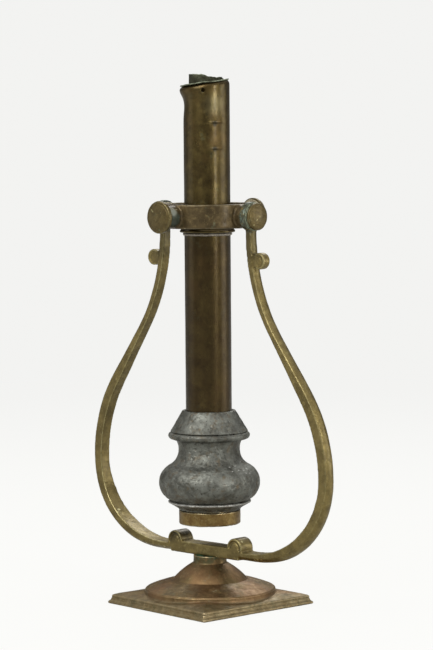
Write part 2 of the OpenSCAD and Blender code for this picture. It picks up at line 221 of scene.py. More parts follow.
def cast_skin(amount, size, pit, pit_size):
    """Height of a worn cast surface: soft lumps, and pits where the noise runs deep."""
    def height(p):
        return amount * grain(p, size) - pit * max(0.0, noise.noise(p / pit_size) - 0.28)
    return height


def finished(o, body, material, slot, *nodes):
    """Puts the material on a piece that rides a body and stands for CAD nodes."""
    o.data.materials.clear()
    o.data.materials.append(material)
    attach(o, body)
    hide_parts(*nodes)


def along_x(side):
    """Turns a lathe's axis onto the outer pivots, towards +X or -X."""
    return Matrix.Translation((0, 0, pivot_z)) @ Matrix.Rotation(side * math.pi / 2, 4, "Y")


def along_y(side):
    """Turns a lathe's axis onto the inner pivots, towards +Y or -Y."""
    return Matrix.Translation((0, 0, pivot_z)) @ Matrix.Rotation(-side * math.pi / 2, 4, "X")


def washer(z0, z1, ri, ro, columns, edge=0.12):
    """A flat ring with softened edges."""
    return lathe([(ri, z0), (ro - edge, z0), (ro, z0 + edge), (ro, z1 - edge), (ro - edge, z1), (ri, z1)],
                 columns)


def rod(r, z0, z1, columns=48):
    """A plain solid cylinder, for cutting a bore."""
    return lathe([(0, z0), (r, z0), (r, z1), (0, z1)], columns, False)


# ---------- base ----------


def square_ring(half, corner, z, columns):
    """Points round a square with rounded corners."""
    per_side = columns // 4
    straight, bend = 2 * (half - corner), corner * math.pi / 2
    out = []
    for k in range(4):
        turn = Matrix.Rotation(k * math.pi / 2, 2)
        for i in range(per_side):
            s = (straight + bend) * i / per_side
            if s <= straight / 2:
                p = (half, s)
            elif s <= straight / 2 + bend:
                a = (s - straight / 2) / max(corner, 1e-6)
                p = (half - corner + corner * math.cos(a), half - corner + corner * math.sin(a))
            else:
                p = (half - (s - straight / 2 - bend) - corner, half)
            q = turn @ Vector(p)
            out.append((q.x, q.y, z))
    return np.array(out)


def circle_ring(r, z, columns):
    """Points round a circle, at the angles of the square ring's points."""
    square = square_ring(base_half, 1, z, columns)
    angle = np.arctan2(square[:, 1], square[:, 0])
    return np.stack([r * np.cos(angle), r * np.sin(angle), np.full(columns, z)], axis=1)


def foot_top(ring):
    """Sets a ring down on the foot's top, which rises from each edge of the square."""
    edge = np.abs(ring[:, :2]).max(axis=1)
    ring = ring.copy()
    ring[:, 2] = np.interp(edge, [base_half - 16, base_half - 13, base_half - 5, base_half - 2.1],
                           [7.35, 7.2, 5.8, foot_z])
    return ring


def base():
    """The square foot, the disc, the dome and the neck, hollow underneath."""
    n, steps = 512, 14
    lip = [(base_half - 4, 0.3), (base_half - 3.7, 0), (base_half - 0.35, 0), (base_half, 0.35),
           (base_half, 1.0), (base_half - 0.25, 1.3)]
    cove = arc((base_half + 0.4, 3.0), 1.7, 246, 180, 6)
    band = [(base_half - 1.5, 3.15), (base_half - 1.5, 4.2), (base_half - 1.7, 4.6),
            (base_half - 2.1, foot_z)]
    rings = [square_ring(h, foot_corner, z, n) for h, z in dense(lip + cove + band, 0.5)]
    rim, flat = circle_ring(disc_r + 0.3, 0, n), square_ring(base_half - 2.1, foot_corner, foot_z, n)
    rings += [foot_top(flat + (rim - flat) * i / steps) for i in range(1, steps + 1)]
    start = foot_top(circle_ring(disc_r, 0, n))
    start[:, 2] += 0.3
    rings.append(start)
    side = [(disc_r, disc_z - 0.6)] + arc((disc_r - 0.8, disc_z - 0.5), 0.8, 0, 75, 4)
    skirt = arc_between((disc_r - 0.6, disc_z + 0.4), (dome_r + 0.5, dome_z), 90, 30)
    dome = arc_between((dome_r, dome_z + 0.55), (neck_r + 0.4, neck_z - 0.3), 39, 26)
    neck = [(neck_r, neck_z + 0.3), (neck_r, bar_z + 0.2), (3, bar_z + 0.2)]
    inside = [(3, neck_z - base_wall), (neck_r - base_wall, neck_z - base_wall),
              (dome_r - base_wall / 2, dome_z - base_wall),
              (disc_r - base_wall, disc_z - base_wall), (disc_r - base_wall, underside_z)]
    rings += [circle_ring(r, z, n) for r, z in dense(side + skirt + dome + neck, 0.55)]
    rings += [circle_ring(r, z, n) for r, z in dense(inside, 1.5)]
    rings += [square_ring(base_half - 4, foot_corner, underside_z, n)]
    turned = np.concatenate(rings) @ np.array(Matrix.Rotation(base_turn, 3, "Z")).T
    o = add("base_casting", [(turned, ring_faces(len(rings), n, True))])

    def height(p):
        h = 0.10 * grain(p, 9) + 0.035 * grain(p + Vector((40, 0, 0)), 2.2)
        corner = max(abs(p.x), abs(p.y)) > base_half - 3 and p.z < 5
        return h - (0.35 * max(0.0, noise.noise(p / 3.1) - 0.3) if corner else 0.0)

    wear(o, height)
    for v in o.data.vertices:
        v.co.z = max(v.co.z, 0.0)
    finished(o, "stand", base_bronze(), "base_bronze", "base")


# ---------- yoke ----------


def face_chain(t, step=0.8):
    """The line of an arm's face in the XZ plane, set in by t from its outer face, and its normals.

    t is the set-in at the bar, at the widest point and at the pivot.
    """
    c_low, c_mid = (reach - r_low, widest_z), (reach - r_mid, widest_z)
    c_top = (eye_out + r_top, arm_top)
    rh, rl, rm, rt = r_heel - t[0], r_low - t[1], r_mid - t[1], r_top + t[2]
    heel_end = math.asin((widest_z - bar_z - r_heel) / (rh - rl))
    c_heel = (c_low[0] - (rh - rl) * math.cos(heel_end), bar_z + r_heel)
    v = np.subtract(c_top, c_mid)
    mid_end = math.atan2(v[1], v[0]) - math.acos((rm + rt) / np.linalg.norm(v))
    points = [((0, bar_z + t[0]), -math.pi / 2)]
    for centre, r, a, b in ((c_heel, rh, -math.pi / 2, heel_end), (c_low, rl, heel_end, 0),
                            (c_mid, rm, 0, mid_end), (c_top, -rt, mid_end, 0)):
        parts = max(2, round(abs(r * (b - a)) / step))
        for i in range(parts + 1):
            angle = a + (b - a) * i / parts
            points.append(((centre[0] + r * math.cos(angle), centre[1] + r * math.sin(angle)), angle))
    points.append(((c_top[0] - rt, arm_top + 4), 0.0))
    places, normals = [], []
    for (p, a), (q, b) in zip(points, points[1:]):
        n = max(1, round(math.dist(p, q) / step))
        for i in range(n):
            places.append(np.add(p, np.subtract(q, p) * i / n))
            normals.append(a + (b - a) * i / n)
    places.append(np.array(points[-1][0]))
    normals.append(points[-1][1])
    return np.array(places), np.stack([np.cos(normals), np.sin(normals)], axis=1)


def arm(side):
    """One arm as a swept section with a flat inner face and a rounded outer face."""
    outer, normals = face_chain((0, 0, 0))
    inner, _ = face_chain(arm_t, 0.1)
    sections = []
    for p, d in zip(outer, normals):
        thick = np.linalg.norm(inner - p, axis=1).min()
        width = np.interp(p[1], [bar_z + 9, widest_z - 8, arm_top - 10], [bar_w, arm_w_mid, arm_w_top])
        across = np.linspace(-width / 2, width / 2, 9)
        depth = list(crown_r - np.sqrt(crown_r**2 - across**2)) + [thick] * 5
        across = list(across) + list(np.linspace(width / 2, -width / 2, 5))
        line = [(side * (p[0] - d[0] * k), y, p[1] - d[1] * k) for y, k in zip(across, depth)]
        sections.append(np.array(line))
    return sweep(sections)


def cylinder_y(x, z, r, width, sunk):
    """A scroll's roll along Y, with its ends sunk inside a rim and a turned ring."""
    h = width / 2
    end = [(r, h - 0.5), (r - 0.5, h), (r - 1.1, h), (r - 1.35, h - sunk), (r - 2.6, h - sunk * 0.8),
           (r - 2.9, h - 0.1)]
    profile = [(0, -h)] + [(a, -b) for a, b in reversed(end)] + end + [(0, h - 0.05)]
    turn = Matrix.Translation((x, 0, z)) @ Matrix.Rotation(math.pi / 2, 4, "X")
    return place(lathe(dense(profile, 0.6), 72, False), turn)


def block(x0, x1, y, z0, z1):
    """A bar along X with softened long edges."""
    e = 0.5
    outline = [(-y + e, z0), (y - e, z0), (y, z0 + e), (y, z1 - e), (y - e, z1), (-y + e, z1),
               (-y, z1 - e), (-y, z0 + e)]
    return sweep([np.array([(x, a, b) for a, b in outline]) for x in np.linspace(x0, x1, 30)])


def yoke():
    """The bar, the arms, the scrolls and the eyes, melted into one casting."""
    (low_x, low_z, low_r), (top_x, top_z, top_r) = scroll_low, scroll_top
    shapes = [arm(1), arm(-1), block(-low_x - 3, low_x + 3, bar_w / 2, bar_z, bar_top_z)]
    for side in (-1, 1):
        shapes.append(cylinder_y(side * low_x, low_z, low_r, bar_w, 0.9))
        shapes.append(cylinder_y(side * top_x, top_z, top_r, arm_w_top - 0.4, 0.5))
        web = sorted([side * (top_x - 6.4), side * (top_x - 1)])
        shapes.append(block(web[0], web[1], arm_w_top / 2 - 0.3, top_z - 3.6, top_z + 3.6))
        eye = washer(eye_x, eye_out, bore_r, eye_r, 96, 0.35)
        shapes.append(place(eye, along_x(side)))
    o = add("yoke_casting", shapes)
    weld(o, 0.45, 3)
    carve(o, [place(rod(bore_r + 0.15, 28, 38), along_x(side)) for side in (-1, 1)])
    o.data.shade_smooth()

    def height(p):
        if abs(p.x) < eye_out + 1 and math.hypot(p.y, p.z - pivot_z) < bore_r + 1:
            return 0.0
        h = 0.09 * grain(p, 11) + 0.03 * grain(p + Vector((0, 30, 0)), 2.0)
        nick = max(0.0, noise.noise(p / 2.6 + Vector((7, 0, 0))) - 0.42)
        return h - 0.5 * nick

    wear(o, height)
    finished(o, "stand", yoke_brass(), "yoke_brass", "yoke")


# ---------- gimbal ----------


def ring():
    """The gimbal ring's band with its four bosses."""
    h = ring_h / 2
    band = [(ring_ri, -h + 0.4), (ring_ri + 0.4, -h), (ring_ro - 0.5, -h), (ring_ro, -h + 0.5),
            (ring_ro, h - 0.5), (ring_ro - 0.5, h), (ring_ri + 0.4, h), (ring_ri, h - 0.4)]
    shapes = [place(lathe(band, 160), Matrix.Translation((0, 0, pivot_z)))]
    for side in (-1, 1):
        shapes.append(place(washer(ring_ro - 2, outer_boss, thread_r, boss_r, 96, 0.3), along_x(side)))
        shapes.append(place(washer(ring_ro - 2, inner_boss, bore_r, boss_r - 0.2, 96, 0.3), along_y(side)))
    o = add("ring_casting", shapes)
    weld(o, 0.38, 3)
    holes = [place(rod(thread_r, 15, 29), along_x(s)) for s in (-1, 1)]
    holes += [place(rod(bore_r, 15, 33), along_y(s)) for s in (-1, 1)]
    carve(o, holes)
    o.data.shade_smooth()
    wear(o, cast_skin(0.07, 7, 0.18, 1.6))
    finished(o, "ring", ring_brass(), "ring_brass", "gimbal_ring")


def screw(name, matrix, tip, shoulder, seat, head, body, material, slot, node, spun):
    """A pivot screw: threaded end, plain shank, and the head whose outline is given from its seat."""
    shank = [(0, tip), (thread_r, tip), (thread_r, shoulder), (shank_r, shoulder), (shank_r, seat)]
    profile = shank + [(r, seat + z) for r, z in head]
    o = add(name, [place(lathe(dense(profile, 0.35), 144, False), matrix @ Matrix.Rotation(spun, 4, "Z"))])
    wear(o, cast_skin(0.05, 4, 0.25, 1.1))
    finished(o, body, material, slot, node)


def screws():
    """The four pivot screws, with domed heads on the yoke and flatter ones on the ring."""
    r, k = 7.4, 8.7
    outer_head = [(r - 0.3, 0), (r, 0.3), (r, 1.5), (r - 0.25, 1.8)]
    outer_head += arc_between((r - 0.9, 2.25), (0, 3.05), 26, 10)
    inner_head = [(k - 0.3, 0), (k, 0.3), (k, 1.8), (k - 0.3, 2.15), (k - 0.9, 2.3), (k - 1.15, 2.2),
                  (k - 1.4, 2.35)]
    inner_head += arc_between((k - 1.7, 2.5), (0, 3.0), 60, 10)
    for name, side in sides:
        screw(f"yoke_screw_{name}", along_x(side), ring_ri + 0.5, outer_boss, eye_out + 1.3, outer_head,
              "ring", knob_brass(), "yoke_brass", "outer_screws", side)
        screw(f"ring_screw_{name}", along_y(-side), 17, 22, inner_boss + 0.7, inner_head,
              "tube", knob_brass(), "yoke_brass", "inner_screws", 2 * side)


def washers():
    """Each washer is a ring with a slightly ragged edge."""
    kinds = (
        ("thrust_washer", along_x, outer_boss, outer_boss + 0.5, boss_r + 0.5, "ring",
         worn_brass(), "worn_brass", "outer_thrust_washers"),
        ("green_washer", along_x, eye_out + 0.1, eye_out + 0.7, 7.7, "ring",
         green_brass(), "verdigris_brass", "outer_head_washers"),
        ("small_washer", along_x, eye_out + 0.7, eye_out + 1.3, 7.1, "ring",
         green_brass(), "verdigris_brass", "outer_head_washers"),
        ("ring_washer", along_y, inner_boss + 0.1, inner_boss + 0.7, 7.9, "tube",
         worn_brass(), "worn_brass", "inner_washers"))
    for name, turn, z0, z1, r, body, material, slot, node in kinds:
        for suffix, side in sides:
            v, f = washer(z0, z1, shank_r, r, 144)
            far = np.hypot(v[:, 0], v[:, 1]) > shank_r + 1
            angle = np.arctan2(v[:, 1], v[:, 0])
            ragged = 1 + far * 0.012 * (np.sin(3 * angle + side) + np.sin(7 * angle + 2 * z0))
            v[:, :2] *= np.clip(ragged, 0, 1.006)[:, None]
            o = add(f"{name}_{suffix}", [place((v, f), turn(side))])
            finished(o, body, material, slot, node)


# ---------- candle tube ----------


def collar():
    """The sleeve that carries the tube in the ring, and the bead of solder under its flange."""
    z0, z1, r = pivot_z - collar_low, pivot_z + collar_high, collar_r
    sleeve = [(tube_r, z0), (15.0, z0), (15.2, z0 + 0.2), (15.2, z0 + 1.1), (14.9, z0 + 1.4),
              (r, z0 + 1.6), (r, z1 - 0.4), (r - 0.4, z1), (tube_r, z1)]
    shapes = [lathe(dense(sleeve, 0.8), 180)]
    shapes += [place(washer(tube_r + 0.2, 22, thread_r, 5.5, 72, 0.3), along_y(s)) for s in (-1, 1)]
    o = add("tube_collar_sleeve", shapes)
    weld(o, 0.35, 2)
    wear(o, cast_skin(0.05, 5, 0.15, 1.3))
    finished(o, "tube", tube_brass(), "tube_brass", "tube_collar")
    top = z0 - 0.05
    bead = [(tube_r, top)] + arc((tube_r, top - 0.85), 0.9, 88, -88, 12) + [(tube_r, top - 1.75)]
    o = add("solder_bead", [lathe(bead, 240)])
    wear(o, lambda p: 0.16 * grain(p, 2.4) - 0.05)
    finished(o, "tube", solder(), "solder", "collar_bead")


def mouth_height(angle, r):
    """Height of the sloping mouth at an angle round the tube."""
    return mouth_z + r * math.tan(mouth_tilt) * np.cos(angle - mouth_dir)


def near_angle(angle, centre, width, power=2):
    """1 at an angle round the tube, in degrees, and fading to 0 away from it."""
    off = np.angle(np.exp(1j * (angle - math.radians(centre))))
    return np.exp(-((off / width) ** power))


def tube():
    """The thin tube, with its knocked mouth, its two sharp dents and the small round hole."""
    n, low = 200, tube_z
    # the upper part, where the dents are, has its rings closer together
    steps = np.concatenate([np.linspace(0, 0.78, 120), np.linspace(0.783, 1, 130)])
    turn = np.linspace(0, TAU, n, endpoint=False)
    rings = []
    for r, run in ((tube_r, steps), (tube_r - tube_wall, steps[::-3])):
        for s in run:
            z = low + (mouth_height(turn, tube_r) - low) * s
            rings.append(np.stack([r * np.cos(turn), r * np.sin(turn), z], axis=1))
    v = np.concatenate(rings)
    # the knocked side bulges right under the mouth and sinks below it, and the edge all round is drawn in
    angle = np.arctan2(v[:, 1], v[:, 0])
    below = mouth_height(angle, tube_r) - v[:, 2]
    bulge = 2.0 * np.exp(-(((below - 2.2) / 3.6) ** 2)) - 0.5 * np.exp(-(((below - 11.0) / 4.5) ** 2))
    dents = near_angle(angle, 218, 0.75) * bulge - 1.1 * np.clip(1 - below / 2.4, 0, 1) ** 2
    # each sharp dent has an abrupt lower lip and fades upwards
    for z, middle, deep, wide in ((266.6, -25, 0.8, 0.36), (252.4, -24, 0.7, 0.34)):
        drop = v[:, 2] - z
        fall = np.where(drop > 0, np.exp(-drop / 6.0), np.exp(-((drop / 0.8) ** 2)))
        dents -= deep * fall * near_angle(angle, middle, wide)
    v[:, :2] *= (1 + dents / tube_r)[:, None]
    o = add("candle_tube_body", [(v, ring_faces(len(rings), n, True))])
    # the small round hole, 4 mm under the mouth
    across = Matrix.Rotation(mouth_dir - math.radians(98), 4, "Z") @ Matrix.Rotation(math.pi / 2, 4, "Y")
    carve(o, [place(rod(1.2, 8, 18, 32), Matrix.Translation((0, 0, mouth_z - 4)) @ across)])
    o.data.shade_smooth()
    wear(o, lambda p: 0.045 * grain(p, 14) + 0.012 * grain(p, 2.5))
    finished(o, "tube", tube_brass(), "tube_brass", "candle_tube")


def nozzle():
    """The bent flange on the mouth, and what is left of the crushed nozzle on it."""
    n = 200
    turn = np.linspace(0, TAU, n, endpoint=False)
    tilt = (Matrix.Translation((0, 0, mouth_z)) @ Matrix.Rotation(mouth_dir, 4, "Z")
            @ Matrix.Rotation(-mouth_tilt, 4, "Y") @ Matrix.Translation((-1, 0, 0)))
    ri, ro, t = 9.2, 13.5, 0.7
    v, f = lathe(dense([(ri, 0), (ro - 0.2, 0), (ro, 0.2), (ro, t - 0.2), (ro - 0.2, t), (ri, t)], 0.5), n)
    edge = np.clip((np.hypot(v[:, 0], v[:, 1]) - ri) / (ro - ri), 0, 1)
    angle = np.arctan2(v[:, 1], v[:, 0])
    v[:, 2] += edge**2 * (0.18 * np.sin(3 * angle + 1) + 0.12 * np.sin(7 * angle))
    o = add("mouth_flange", [place((v, f), tilt)])
    wear(o, cast_skin(0.05, 3, 0.3, 1.1))
    finished(o, "tube", green_brass(), "verdigris_brass", "nozzle_flange")

    wall_r, wall = 9.9, 0.7
    low = mouth_z + t + wall_r * math.tan(mouth_tilt) * np.cos(turn - mouth_dir) - 0.3
    high = mouth_z + 4.5 - wall_r * math.tan(mouth_tilt * 1.1) * np.cos(turn - mouth_dir)
    torn = 0.3 * np.sin(5 * turn + 0.7) + 0.15 * np.sin(11 * turn) + 0.08 * np.sin(23 * turn + 2)
    step = 0.9 * near_angle(turn, 195, 0.16, 4)
    high = np.maximum(np.minimum(high + torn - step - 0.5, mouth_z + 4.9), low + 0.5)
    rings = []
    for r, run in ((wall_r, np.linspace(0, 1, 14)), (wall_r - wall, np.linspace(1, 0, 14))):
        for s in run:
            crumple = 0.22 * s * (np.sin(4 * turn + 2 * s) + 0.6 * np.sin(9 * turn + 5 * s))
            rr = r - 0.25 + np.minimum(crumple, 0.25)
            rings.append(np.stack([rr * np.cos(turn), rr * np.sin(turn), low + (high - low) * s], axis=1))
    o = add("nozzle_stub", [(np.concatenate(rings), ring_faces(len(rings), n, True))])
    wear(o, cast_skin(0.08, 2.2, 0.3, 0.9))
    finished(o, "tube", green_brass(), "verdigris_brass", "nozzle_collar")


# ---------- weight, cap and candle feed ----------


def weight():
    """The turned weight, from its foot up to the cone and back down the bore."""
    foot = [(tube_r + 2.75, 53.2), (17.2, 53.2), (17.4, 53.9), (22.4, 56.8), (22.85, 57.0), (22.9, 57.6),
            (22.4, 57.95), (21.2, rim_top_z)]
    bulb = arc((17.4, 68.1), 10.6, -68, 62.2, 44)
    waist = arc((27.1, 86.5), 10.2, 242.2, 150, 34)
    roll = [(19.4, 92.3)] + arc((20.7, 94.2), 1.9, -100, 95, 16)
    cone = [(20.9, 96.2), (21.4, 96.6), (tube_r + 2.2, cone_top_z - 0.6), (tube_r + 1.9, cone_top_z - 0.2),
            (tube_r + 1.5, cone_top_z), (tube_r, cone_top_z), (tube_r, 60), (15.4, 60)]
    profile = dense(foot + bulb + waist[1:] + roll + cone[:5], 0.42) + dense(cone[5:], 3)
    o = add("weight_casting", [lathe(profile, 320)])

    def height(p):
        h = 0.16 * grain(p, 8) + 0.05 * grain(p, 1.8)
        pits = max(0.0, noise.noise(p / 1.5) - 0.22) + 0.8 * max(0.0, noise.noise(p / 3.7) - 0.26)
        return h - 0.7 * pits

    wear(o, height)
    finished(o, "tube", pewter(), "pewter", "weight")


def cap():
    """The screw cap's ring and its floor."""
    z0, z1, ri, ro = cap_z, cap_top_z, cap_ri, cap_ro
    profile = [(ri, z0 + 0.3), (ri + 0.3, z0), (ro - 0.35, z0), (ro, z0 + 0.35), (ro, z1 - 0.3),
               (ro - 0.3, z1), (ri, z1)]
    o = add("screw_cap_ring", [lathe(dense(profile, 0.5), 240)])

    def height(p):
        chip = 0.35 * max(0.0, noise.noise(p / 2.4)) if p.z < z0 + 0.6 else 0
        return 0.10 * grain(p, 5) - chip

    wear(o, height)
    finished(o, "cap", cap_brass(), "cap_brass", "bottom_cap")
    disc = [(0, z0 + 0.35), (ri, z0 + 0.35), (ri, z0 + 1.8), (0, z0 + 1.8)]
    o = add("screw_cap_floor", [lathe(dense(disc, 0.8), 160, False)])
    wear(o, lambda p: 0.05 * grain(p, 5) if math.hypot(p.x, p.y) < ri - 1 else 0)
    finished(o, "cap", cap_brass(), "cap_brass", "cap_floor")


def inner_parts():
    """Pieces whose CAD shape is right, so they get finishes only; the spring also gets its own copy of its
    mesh.
    """
    finishes = {"stem_washer": knob_brass(), "stem_screw": steel(), "tube_ferrule": cap_brass(),
                "candle_spring": spring_bronze(), "follower": worn_brass()}
    for name, material in finishes.items():
        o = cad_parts[name]
        o.data.materials.clear()
        o.data.materials.append(material)
    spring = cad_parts["candle_spring"]
    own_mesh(spring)


# ---------- materials ----------
# Each material is built the first time that it is asked for, and kept.


class Graph:
    """A material's nodes. Every pattern is in the object's own coordinates, in metres."""

    def __init__(self, name):
        self.material = bpy.data.materials.new(name)
        self.material.use_nodes = True
        self.tree = self.material.node_tree
        self.tree.nodes.clear()
        self.where = self.node("ShaderNodeTexCoord").outputs["Object"]

    def node(self, kind, settings=(), **inputs):
        """A new node. Its inputs are given by name, or by number as i0, i1 and so on."""
        made = self.tree.nodes.new(kind)
        for key, value in dict(settings).items():
            setattr(made, key, value)
        for key, value in inputs.items():
            by_number = key[0] == "i" and key[1:].isdigit()
            socket = made.inputs[int(key[1:]) if by_number else key.replace("_", " ")]
            if hasattr(value, "is_output"):
                self.tree.links.new(value, socket)
            else:
                socket.default_value = value
        return made

    def noise(self, size_mm, detail=5.0, rough=0.6, offset=0.0, distort=0.0):
        """Noise from 0 to 1 with lumps of about the given size."""
        shifted = self.node("ShaderNodeVectorMath", {"operation": "ADD"}, i0=self.where,
                            i1=(offset, offset * 0.7, -offset)).outputs[0]
        return self.node("ShaderNodeTexNoise", Vector=shifted, Scale=1000 / size_mm, Detail=detail,
                         Roughness=rough, Distortion=distort).outputs["Fac"]

    def ramp(self, value, low, high, start=0.0, end=1.0):
        """Start below low, end above high, and a smooth step between them."""
        return self.node("ShaderNodeMapRange", {"interpolation_type": "SMOOTHSTEP"}, Value=value,
                         From_Min=low, From_Max=high, To_Min=start, To_Max=end).outputs["Result"]

    def math(self, operation, a, b):
        """a and b combined, and held between 0 and 1."""
        settings = {"operation": operation, "use_clamp": True}
        return self.node("ShaderNodeMath", settings, i0=a, i1=b).outputs[0]

    def above(self):
        """Height over the floor, in metres."""
        return self.node("ShaderNodeSeparateXYZ", Vector=self.where).outputs["Z"]

    def mix(self, amount, a, b):
        """Colour a turning into b as amount goes from 0 to 1."""
        made = self.node("ShaderNodeMix", {"data_type": "RGBA"})
        for key, value in ((0, amount), (6, a), (7, b)):
            if hasattr(value, "is_output"):
                self.tree.links.new(value, made.inputs[key])
            else:
                made.inputs[key].default_value = (*value, 1) if isinstance(value, tuple) else value
        return made.outputs[2]

    def edges(self, low, high):
        """1 on sharp outer edges, and 0 elsewhere."""
        point = self.node("ShaderNodeNewGeometry").outputs["Pointiness"]
        return self.ramp(point, low, high)

    def hollows(self, low=0.42, high=0.49):
        """1 in sharp hollows, and 0 elsewhere."""
        point = self.node("ShaderNodeNewGeometry").outputs["Pointiness"]
        return self.ramp(point, low, high, 1.0, 0.0)

    def spot(self, centre_mm, radius_mm, soft=0.5):
        """1 near a place on the object and 0 away from it, with a ragged edge."""
        centre = tuple(c * MM for c in centre_mm)
        far = self.node("ShaderNodeVectorMath", {"operation": "DISTANCE"}, i0=self.where, i1=centre)
        ragged = self.math("MINIMUM", self.ramp(self.noise(5, 4, 0.7, 0.3), 0.2, 0.8, 0.6, 1.4), 1.0)
        share = self.math("DIVIDE", far.outputs["Value"], radius_mm * MM)
        return self.ramp(self.math("DIVIDE", share, ragged), soft, 1.0, 1.0, 0.0)

    def finish(self, colour, rough, bumps, metallic, **sockets):
        """Joins colour, roughness and (height, depth in mm) pairs to the shader."""
        normal = None
        for height, depth in bumps:
            bump = self.node("ShaderNodeBump", Height=height, Distance=depth * MM, Strength=1.0)
            if normal is not None:
                self.tree.links.new(normal, bump.inputs["Normal"])
            normal = bump.outputs["Normal"]
        shader = self.node("ShaderNodeBsdfPrincipled", Base_Color=colour, Roughness=rough, **sockets)
        if hasattr(metallic, "is_output"):
            self.tree.links.new(metallic, shader.inputs["Metallic"])
        else:
            shader.inputs["Metallic"].default_value = metallic
        if normal is not None:
            self.tree.links.new(normal, shader.inputs["Normal"])
        out = self.node("ShaderNodeOutputMaterial")
        self.tree.links.new(shader.outputs[0], out.inputs["Surface"])
        return self.material


def old_brass(name, dark, mid, light, bright, green=0.15, size=7, rough=(0.32, 0.6),
              green_colour=(0.10, 0.16, 0.10)):
    """Brass under a patina: mottled browns, rubbed bright edges, dark hollows and green patches."""
    clean_metal, dirty_metal = 0.9, 0.315
    g = Graph(name)
    cloud, fine = g.noise(size, 6, 0.65), g.noise(1.1, 4, 0.7, 0.2)
    body = g.mix(g.ramp(cloud, 0.32, 0.66), dark, mid)
    body = g.mix(g.ramp(g.noise(size * 0.45, 5, 0.7, 0.5), 0.52, 0.72), body, light)
    body = g.mix(g.ramp(fine, 0.56, 0.7, 0.0, 0.45), body, tuple(c * 0.35 for c in dark))
    grime = g.math("MULTIPLY", g.hollows(), 0.85)
    body = g.mix(grime, body, tuple(c * 0.3 for c in dark))
    verd = g.math("MULTIPLY", g.ramp(g.noise(size * 0.8, 6, 0.75, 0.9), 0.58, 0.7), green)
    body = g.mix(verd, body, green_colour)
    worn = g.math("MULTIPLY", g.edges(0.512, 0.57), g.ramp(g.noise(3, 4, 0.7, 0.1), 0.3, 0.6, 0.25, 1.0))
    body = g.mix(worn, body, bright)
    shine = g.ramp(g.noise(size * 0.6, 5, 0.7, 0.7), 0.3, 0.7, rough[0], rough[1])
    shine = g.math("SUBTRACT", shine, g.math("MULTIPLY", worn, 0.12))
    shine = g.math("ADD", shine, g.math("MULTIPLY", g.math("MAXIMUM", verd, grime), 0.3))
    dirty = g.math("MAXIMUM", verd, g.math("MULTIPLY", grime, 0.6))
    metallic = g.ramp(dirty, 0.0, 0.6, clean_metal, dirty_metal)
    return g, body, shine, metallic, [(cloud, 0.05), (fine, 0.05), (g.noise(0.45, 3, 0.6, 0.4), 0.015)]


lacquer = {"Coat_Weight": 0.2, "Coat_Roughness": 0.22}


@cache
def yoke_brass():
    """Golden brass, with green crust round the eyes, blackened scrolls and painted shade below the pivots.
    """
    g, body, shine, metallic, bumps = old_brass(
        "yoke_brass", (0.143, 0.107, 0.036), (0.244, 0.186, 0.065), (0.302, 0.242, 0.095),
        (0.605, 0.539, 0.275))
    for side in (-1, 1):
        eye = g.spot((side * (eye_x + 2), 0, pivot_z), 10.5, 0.75)
        crumbs = g.ramp(g.noise(1.8, 5, 0.75, 0.6), 0.47, 0.62)
        crust = g.mix(crumbs, (0.022, 0.032, 0.02), (0.14, 0.19, 0.15))
        body = g.mix(g.math("MULTIPLY", eye, 0.9), body, crust)
        metallic = g.math("SUBTRACT", metallic, g.math("MULTIPLY", eye, 0.6))
    x, z = scroll_low[0], scroll_low[1] + 4
    for side, y, wide, amount in ((-1, 1, 10, 0.9), (1, 7, 9, 0.8)):
        black = g.spot((side * x, y, z), wide, 0.3)
        body = g.mix(g.math("MULTIPLY", black, amount), body, (0.02, 0.017, 0.008))
    # painted shade on each arm below its pivot
    for side in (-1, 1):
        shade = g.spot((side * (eye_x + 1), 0, pivot_z - 14), 15, 0.4)
        body = g.mix(g.math("MULTIPLY", shade, 0.5), body, (0.05, 0.043, 0.018))
    return g.finish(body, shine, bumps, metallic, **lacquer)


@cache
def knob_brass():
    """The screw heads' brown brass."""
    g, body, shine, metallic, bumps = old_brass(
        "knob_brass", (0.091, 0.065, 0.022), (0.141, 0.104, 0.037), (0.187, 0.135, 0.049),
        (0.351, 0.308, 0.147), size=4, green=0.4, rough=(0.34, 0.58))
    return g.finish(body, shine, bumps, metallic, **lacquer)


@cache
def ring_brass():
    """Brown brass, with a pale bloom and green beside the left boss."""
    g, body, shine, metallic, bumps = old_brass(
        "ring_brass", (0.068, 0.048, 0.022), (0.128, 0.091, 0.041), (0.2, 0.149, 0.068),
        (0.48, 0.415, 0.247), green=0.5, size=6, rough=(0.38, 0.62))
    bloom, green = g.spot((4.5, -32, 218.5), 3.6), g.spot((5, -31, 214), 6)
    body = g.mix(g.math("MULTIPLY", bloom, 0.75),
                 g.mix(g.math("MULTIPLY", green, 0.85), body, (0.025, 0.04, 0.025)), (0.30, 0.31, 0.25))
    metallic = g.math("SUBTRACT", metallic, g.math("MULTIPLY", g.math("MAXIMUM", bloom, green), 0.6))
    return g.finish(body, shine, bumps, metallic, **lacquer)


